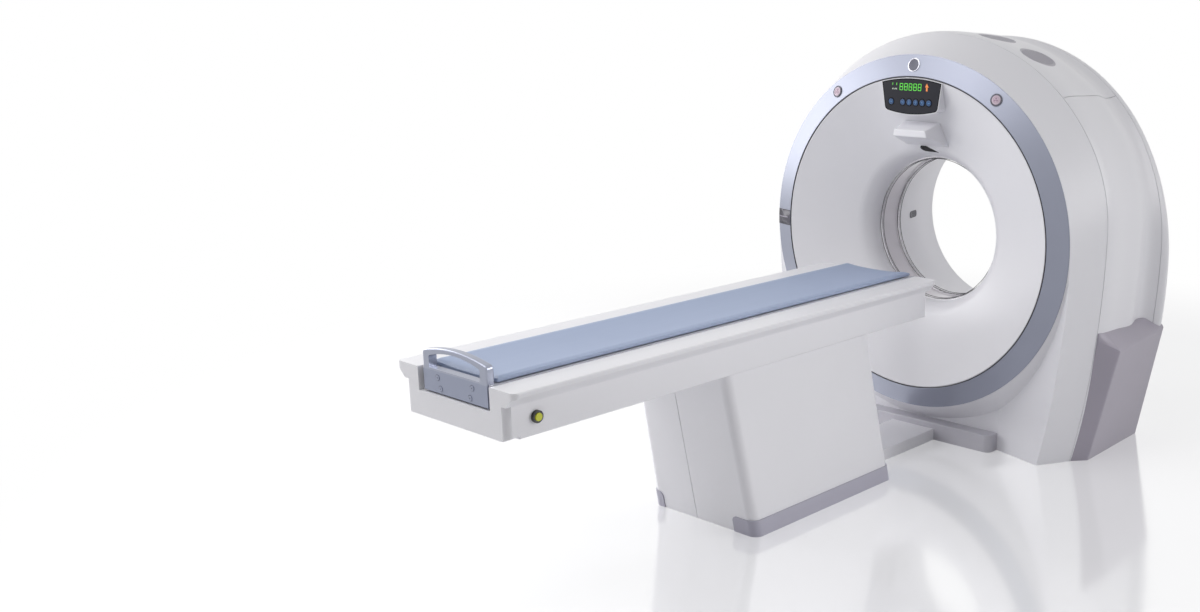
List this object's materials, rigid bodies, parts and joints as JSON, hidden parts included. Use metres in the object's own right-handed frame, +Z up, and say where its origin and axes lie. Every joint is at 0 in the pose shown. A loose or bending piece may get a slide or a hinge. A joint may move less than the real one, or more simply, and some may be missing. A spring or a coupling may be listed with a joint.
{
  "type": "ct scanner",
  "caption": "Hospital CT scanner: a round-bore gantry with a rotating x-ray unit inside, and a raised patient table whose padded cradle slides through the bore.",
  "frame": {"origin": "on the floor below the isocentre, where the scan plane crosses the bore's axis", "axes": "+X to the right seen from the table, +Y along the bore from the table to the rear, +Z up"},
  "size_m": [1.9616, 3.436, 1.9622],
  "materials": {
    "cover_white": "satin",
    "table_white": "satin",
    "ring_blue": "metallic satin",
    "chrome_trim": "polished",
    "scan_band": "gloss",
    "grey_plastic": "satin",
    "dark_panel": "gloss",
    "vent_grey": "satin",
    "frame_paint": "satin",
    "bearing_steel": "machined",
    "cast_alloy": "cast",
    "shield_metal": "satin",
    "contact_brass": "machined",
    "brush_plastic": "matte",
    "belt_rubber": "matte",
    "cradle_skin": "satin",
    "pad_vinyl": "satin vinyl",
    "handle_alloy": "satin anodised",
    "black_plastic": "gloss",
    "yellow_cap": "gloss",
    "pink_cap": "gloss",
    "blue_key": "gloss"
  },
  "bodies": {
    "root": {"front_cover": "cover_white", "side_cover_left": "cover_white", "side_cover_right": "cover_white", "top_cover": "cover_white", "rear_cover": "cover_white", "front_funnel": "cover_white", "rear_liner": "cover_white", "laser_housing": "cover_white", "display_bezel": "cover_white", "pedestal_cover_left": "table_white", "pedestal_cover_right": "table_white", "floor_duct": "table_white", "ring_trim": "ring_blue", "front_window_ring": "chrome_trim", "rear_window_ring": "chrome_trim", "port_bezels": "chrome_trim", "scan_window": "scan_band", "foot_box_left": "grey_plastic", "foot_box_right": "grey_plastic", "table_plinth": "grey_plastic", "foot_rail": "grey_plastic", "display_screen": "dark_panel", "laser_window": "dark_panel", "top_vents": "vent_grey", "gantry_base_frame": "frame_paint", "stator_frame": "frame_paint", "cover_hoops": "frame_paint", "table_base_plate": "frame_paint", "lift_column": "frame_paint", "bearing_outer_race": "bearing_steel", "drive_motor": "cast_alloy", "brush_block": "brush_plastic", "drive_belt": "belt_rubber"},
    "rotor": {"bearing_inner_race": "bearing_steel", "rotor_plate": "frame_paint", "xray_tube": "cast_alloy", "collimator": "shield_metal", "detector_array": "cast_alloy", "hv_tanks": "cast_alloy", "slip_ring": "contact_brass"},
    "motor": {"motor_pulley": "bearing_steel"},
    "table": {"lift_carriage": "frame_paint", "lift_inner_cover": "table_white", "tabletop": "table_white", "foot_end_cap": "table_white", "cradle_rails": "bearing_steel", "button_bezel": "black_plastic"},
    "cradle": {"cradle_shell": "cradle_skin", "pad": "pad_vinyl", "handle_plate": "handle_alloy", "handle_arch": "handle_alloy"},
    "release": {"release_button": "yellow_cap"},
    "port_left": {"port_button_left": "pink_cap"},
    "port_right": {"port_button_right": "pink_cap"},
    "key_1": {"panel_key_1": "blue_key"},
    "key_2": {"panel_key_2": "blue_key"},
    "key_3": {"panel_key_3": "blue_key"},
    "key_4": {"panel_key_4": "blue_key"},
    "key_5": {"panel_key_5": "blue_key"},
    "key_6": {"panel_key_6": "blue_key"}
  },
  "joints": [
    {"name": "rotor_spin", "type": "hinge", "parent": "root", "child": "rotor", "pos_m": [0, 0, 1.016], "axis": [0, 1, 0], "continuous": true},
    {"name": "motor_spin", "type": "hinge", "parent": "root", "child": "motor", "pos_m": [0.708, 0, 0.19], "axis": [0, 1, 0], "continuous": true},
    {"name": "table_lift", "type": "slide", "parent": "root", "child": "table", "axis": [0, -0.1961, 0.9806], "range_m": [0, 0.1]},
    {"name": "cradle_travel", "type": "slide", "parent": "table", "child": "cradle", "axis": [0, 1, 0], "range_m": [0, 1.55]},
    {"name": "release_press", "type": "slide", "parent": "table", "child": "release", "axis": [-1, 0, 0], "range_m": [0, 0.005], "stiffness_N_per_m": 300, "springref_m": -0.002},
    {"name": "port_left_press", "type": "slide", "parent": "root", "child": "port_left", "axis": [0.1628, 0.9578, -0.2368], "range_m": [0, 0.003], "stiffness_N_per_m": 300, "springref_m": -0.002},
    {"name": "port_right_press", "type": "slide", "parent": "root", "child": "port_right", "axis": [-0.1628, 0.9578, -0.2368], "range_m": [0, 0.003], "stiffness_N_per_m": 300, "springref_m": -0.002},
    {"name": "key_1_press", "type": "slide", "parent": "root", "child": "key_1", "axis": [0, 1, 0], "range_m": [0, 0.0015], "stiffness_N_per_m": 300, "springref_m": -0.001},
    {"name": "key_2_press", "type": "slide", "parent": "root", "child": "key_2", "axis": [0, 1, 0], "range_m": [0, 0.0015], "stiffness_N_per_m": 300, "springref_m": -0.001},
    {"name": "key_3_press", "type": "slide", "parent": "root", "child": "key_3", "axis": [0, 1, 0], "range_m": [0, 0.0015], "stiffness_N_per_m": 300, "springref_m": -0.001},
    {"name": "key_4_press", "type": "slide", "parent": "root", "child": "key_4", "axis": [0, 1, 0], "range_m": [0, 0.0015], "stiffness_N_per_m": 300, "springref_m": -0.001},
    {"name": "key_5_press", "type": "slide", "parent": "root", "child": "key_5", "axis": [0, 1, 0], "range_m": [0, 0.0015], "stiffness_N_per_m": 300, "springref_m": -0.001},
    {"name": "key_6_press", "type": "slide", "parent": "root", "child": "key_6", "axis": [0, 1, 0], "range_m": [0, 0.0015], "stiffness_N_per_m": 300, "springref_m": -0.001}
  ],
  "couplings": [
    {"joint": "motor_spin", "follows": "rotor_spin", "ratio": 15.6}
  ]
}
